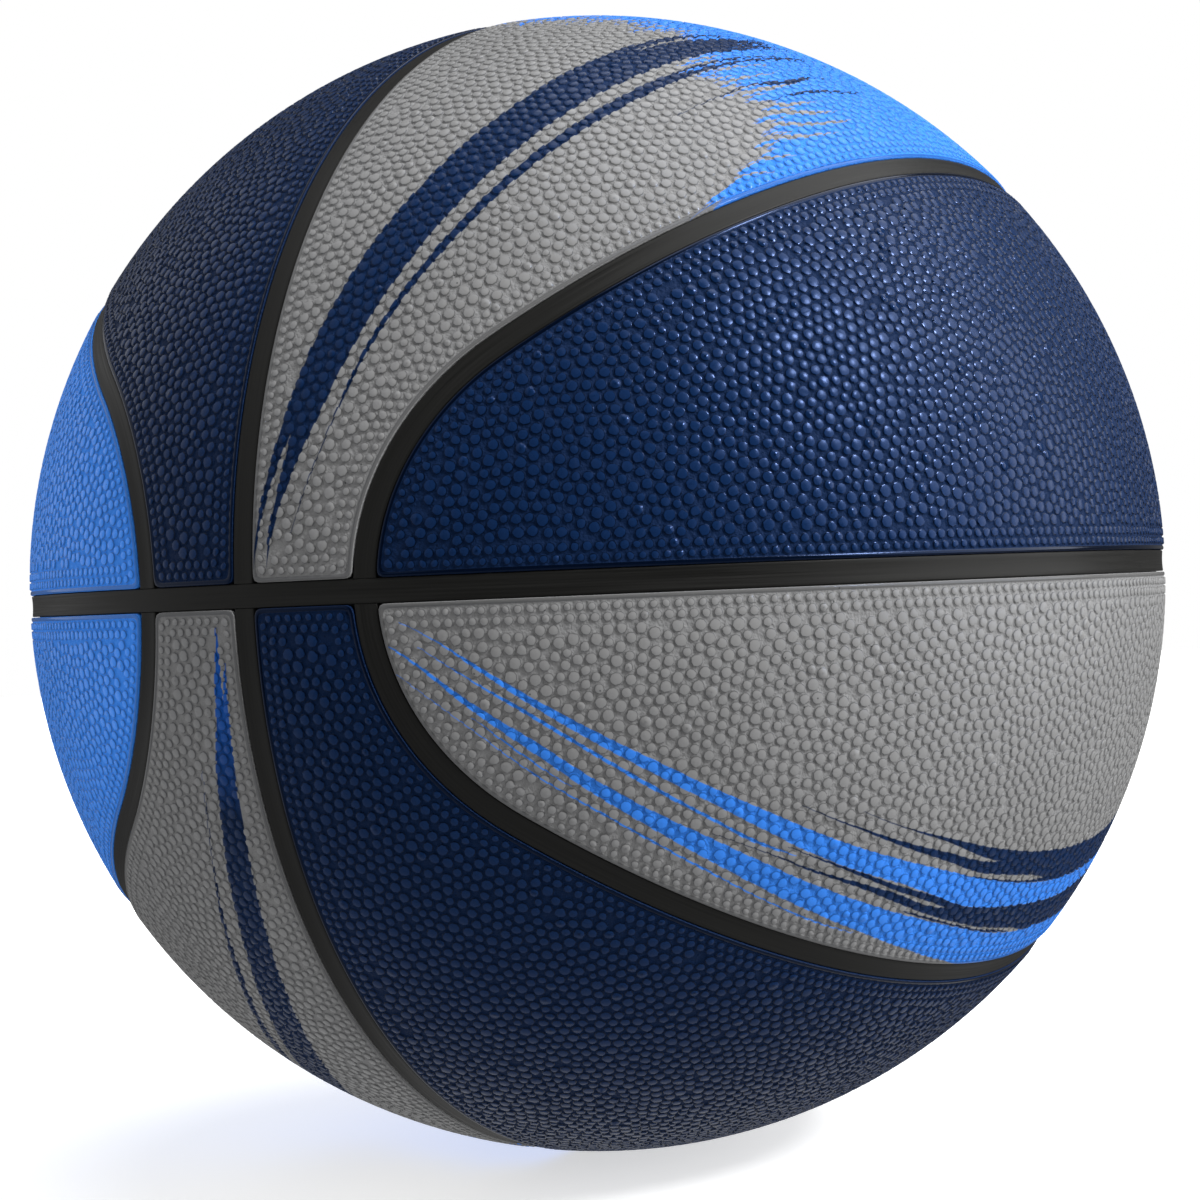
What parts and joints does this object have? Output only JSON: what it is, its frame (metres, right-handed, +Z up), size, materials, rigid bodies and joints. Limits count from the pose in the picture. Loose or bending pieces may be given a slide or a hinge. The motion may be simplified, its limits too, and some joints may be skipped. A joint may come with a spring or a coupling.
{
  "type": "basketball",
  "caption": "Inflated basketball with pebbled cover panels set between recessed rubber seam strips and a needle valve in one panel.",
  "frame": {"origin": "centre of the ball", "axes": "+Z up to where the upper meridian seam passes over the ball, the equator seam in the XY plane, +X to the middle of the right seam loop, +Y to the far crossing of the seams beside the valve"},
  "size_m": [0.24, 0.24, 0.24],
  "materials": {
    "navy_cover": "moulded pebble, satin",
    "striped_grey_cover": "moulded pebble, satin, printed stripes",
    "bright_blue_cover": "moulded pebble, satin",
    "seam_rubber": "smooth, satin",
    "valve_rubber": "smooth, matt",
    "carcass_rubber": "matt",
    "nylon_winding": "wound thread",
    "butyl_bladder": "smooth, matt"
  },
  "bodies": {
    "root": {"bladder": "butyl_bladder", "valve_housing": "valve_rubber", "valve_plug": "valve_rubber", "winding": "nylon_winding", "carcass": "carcass_rubber", "equator_strip": "seam_rubber", "upper_meridian_strip": "seam_rubber", "lower_meridian_strip": "seam_rubber", "right_loop_upper_strip": "seam_rubber", "right_loop_lower_strip": "seam_rubber", "left_loop_upper_strip": "seam_rubber", "left_loop_lower_strip": "seam_rubber", "right_upper_panel": "navy_cover", "right_lower_panel": "striped_grey_cover", "left_upper_panel": "bright_blue_cover", "left_lower_panel": "bright_blue_cover", "top_right_panel": "striped_grey_cover", "top_left_panel": "navy_cover", "bottom_right_panel": "navy_cover", "bottom_left_panel": "striped_grey_cover"}
  },
  "joints": []
}
